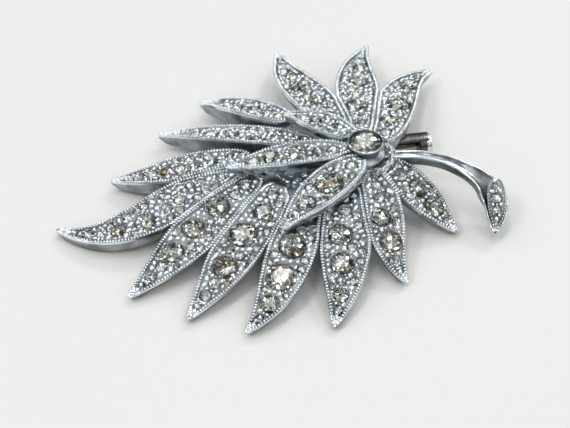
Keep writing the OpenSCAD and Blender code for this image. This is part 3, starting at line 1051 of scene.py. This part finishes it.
def foil(name, stops, roughness):
    """Silver foil in small flats, with warm patches of lacquer and of painted reflection."""
    finish, shader, place = new_finish(name)
    patch = speckle(place, 900, 1.0)
    colour = patch.node("ShaderNodeValToRGB", {"stops": stops}, {"Fac": patch})
    flats = {"Vector": place, "Scale": FLATS_PER_METRE}
    lean = place.node("ShaderNodeTexVoronoi", {}, flats, output=1)
    middle = place.node("ShaderNodeTexVoronoi", {}, flats, output=2)
    lean = lean.vector("SUBTRACT", lean, (0.5, 0.5, 0.5))
    offset = place.vector("SUBTRACT", place, middle)
    height = lean.vector("DOT_PRODUCT", lean, offset, output=1)
    crease = {"Strength": 1.0, "Distance": FLATS_LEAN, "Height": height}
    bump = height.node("ShaderNodeBump", {}, crease)
    place.tree.links.new(colour.socket, shader.inputs["Base Color"])
    place.tree.links.new(bump.socket, shader.inputs["Normal"])
    shader.inputs["Metallic"].default_value = 1.0
    shader.inputs["Roughness"].default_value = roughness
    return finish


# The brown and warm stops are partly the lacquer's champagne tone and partly a painted reflection
# of brown surroundings.
lacquer_and_reflection = [
    (0.3, (0.5, 0.36, 0.25)),
    (0.37, (0.68, 0.67, 0.57)),
    (0.5, (0.86, 0.87, 0.84)),
    (0.68, (0.66, 0.7, 0.73)),
]
chip_tones_and_reflection = [(0.3, (0.6, 0.52, 0.42)), (0.4, (0.96, 0.96, 0.93)), (0.7, (0.84, 0.88, 0.92))]
crown_glass = clear_glass("crown_glass")
silver_foil = foil("silver_foil", lacquer_and_reflection, 0.08)
chip_foil = foil("chip_foil", chip_tones_and_reflection, 0.2)

blank = chip_blank()
chip_pieces = [copied(blank, upright(*stone)) for stone in chip_stones]
bpy.data.objects.remove(blank)
chip_field = joined("chip_stones", chip_pieces)
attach(chip_field, "root")

blank = brilliant_blank()
cut_stones = []
for i, node in enumerate([*main_nodes, "centre_stone"]):
    turn = Matrix.Rotation(2.1 * i, 4, "Z")
    cut_stones.append(copied(blank, upright(*stones_in(node)[0]) @ turn))
bpy.data.objects.remove(blank)
main_stones = joined("main_stones", cut_stones)
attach(main_stones, "root")
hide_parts(*main_nodes, "centre_stone")

small_nodes = [frame["nodes"]["pave_outer"], frame["nodes"]["pave_upper"]]
for stone in [main_stones, chip_field, *small_nodes]:
    stone.data.materials.clear()
    stone.data.materials.append(crown_glass)
    stone.data.materials.append(silver_foil if stone is main_stones else chip_foil)
    for face in stone.data.polygons:
        face.material_index = 1 if face.normal.z < 0 else 0


# PIN
# A steel finding on the back: a bar, a hinge block, the pin wire and a rolled catch. It is soldered
# to two posts of the lower casting and is hidden but for the end of the bar and the catch.

# The steel's dark colour is partly its own and partly painted shade of the hidden back.
steel = plating("pin_steel", (0.17, 0.16, 0.145), (0.05, 0.045, 0.04), 0.1, 0.3, 0.25)
PIN_PLACE = Matrix.Translation(PIN_HEEL * MM) @ Matrix.Rotation(PIN_TURN, 4, "Z")
WIRE_HEIGHT = 1.6
CATCH_HIGHLIGHT_FROM = 24.4  # beyond this the catch takes the polished plating, a painted highlight


def block(name, low, high, bevel):
    """A block between two corners in millimetres along the pin, with rounded edges."""
    low, high = Vector(low), Vector(high)
    bpy.ops.object.select_all(action="DESELECT")
    bpy.ops.mesh.primitive_cube_add(size=1, scale=(high - low) * MM, location=(low + high) / 2 * MM)
    made = bpy.context.object
    made.name = name
    bpy.ops.object.transform_apply(location=True, scale=True)
    round_off = made.modifiers.new("edges", "BEVEL")
    round_off.width = bevel * MM
    round_off.segments = 3
    bpy.ops.object.modifier_apply(modifier="edges")
    return made


def drawn(name, profile, corners):
    """A round piece along the wire's line, from (place, radius) points in millimetres."""

    def ring_at(t):
        place, r = profile[round(t * (len(profile) - 1))]
        return [Vector((place, r * y, WIRE_HEIGHT + r * z)) for y, z in circle(corners)]

    return swept(name, len(profile), corners, ring_at)


barrel = [
    (22.95, 0.9),
    (22.95, 1.35),
    (23.15, 1.58),
    (24.2, 1.58),
    (24.85, 1.58),
    (25.05, 1.35),
    (25.05, 0.9),
]
bore = [(22.5, 0.02), (22.5, 0.82), (22.9, 0.82), (25.1, 0.82), (25.5, 0.82), (25.5, 0.02)]
catch = drawn("catch", [(22.96, 0.02), *barrel, (25.04, 0.02)], 40)
catch_bore = drawn("catch_bore", bore, 24)
as_active(catch)
hollow = catch.modifiers.new("bore", "BOOLEAN")
hollow.object = catch_bore
hollow.solver = "MANIFOLD"
bpy.ops.object.modifier_apply(modifier="bore")
bpy.data.objects.remove(catch_bore)

pin_parts = [
    block("bar", (-1.5, -0.9, 2.7), (24.7, 0.9, 3.4), 0.3),
    block("hinge", (-1.5, -0.9, 0.02), (1.1, 0.9, 2.9), 0.4),
    drawn("wire", [(0.1, 0.02), (0.2, 0.45), (21, 0.45), (22.6, 0.36), (23.9, 0.02)], 20),
    catch,
]
for part in pin_parts:
    part.data.materials.clear()
    part.data.materials.append(steel)
    part.data.materials.append(polished)
    for face in part.data.polygons:
        face.material_index = int(face.center.x > CATCH_HIGHLIGHT_FROM * MM)
    part.data.transform(PIN_PLACE)
pin = joined("pin", pin_parts)
bpy.ops.object.shade_smooth_by_angle(angle=CREASE)
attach(pin, "root")
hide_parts("pin_back")


# STAGE
# A plain pale floor, soft studio light and the camera at the photograph's angle. Many small
# lamps all round give the stones and beads their sparkle.

bpy.ops.object.select_all(action="DESELECT")
bpy.ops.mesh.primitive_plane_add(size=3, location=(0, 0, 0))
floor = bpy.context.object
floor.name = "floor"
floor_paint, shader, _ = new_finish("floor_paint")
shader.inputs["Base Color"].default_value = (0.76, 0.75, 0.73, 1)
shader.inputs["Roughness"].default_value = 0.7
floor.data.materials.append(floor_paint)

world = bpy.data.worlds.new("studio")
world.use_nodes = True
background = world.node_tree.nodes["Background"]
background.inputs["Color"].default_value = (0.84, 0.92, 0.97, 1)
background.inputs["Strength"].default_value = 0.34
bpy.context.scene.world = world


def lamp(name, place, size, power, colour=(1, 1, 1)):
    """A square lamp that faces the brooch; metres and watts."""
    data = bpy.data.lights.new(name, "AREA")
    data.size = size
    data.energy = power
    data.color = colour
    made = bpy.data.objects.new(name, data)
    made.location = place
    made.rotation_euler = (-Vector(place)).to_track_quat("-Z", "Y").to_euler()
    bpy.context.collection.objects.link(made)


lamp("key", (-0.3, -0.2, 0.5), 0.13, 0.5)
lamp("back", (0.24, 0.36, 0.4), 0.1, 0.5, (0.93, 0.97, 1))
SPARKS, SPARK_REACH = 26, 0.5
SPARK_RISES = (32, 44, 56, 68, 80)
SPARK_STEP = 0.382  # of a full turn, so that no two lamps stand in line
for i in range(SPARKS):
    turn = math.tau * (i + 0.3) * SPARK_STEP
    rise = math.radians(SPARK_RISES[i % len(SPARK_RISES)])
    spot = (
        SPARK_REACH * math.cos(turn) * math.cos(rise),
        SPARK_REACH * math.sin(turn) * math.cos(rise),
        SPARK_REACH * math.sin(rise),
    )
    lamp(f"spark_{i + 1}", spot, 0.07, 0.08, (1, 0.99, 0.96))

eye = bpy.data.cameras.new("camera")
eye.lens = 88.4
eye.sensor_width = 36
eye.clip_start = 0.01
camera = bpy.data.objects.new("camera", eye)
camera.location = Vector((0.46, -149.30, 148.87)) * MM
aim = Vector((0.46, -10.37, 5.0)) * MM
camera.rotation_euler = (aim - camera.location).to_track_quat("-Z", "Y").to_euler()
bpy.context.collection.objects.link(camera)
bpy.context.scene.camera = camera

# The burrs and their blank have done their work.
for cutter, _ in burr_list:
    bpy.data.objects.remove(cutter)
bpy.data.objects.remove(burr_blank)

bpy.context.scene.view_settings.view_transform = "Standard"
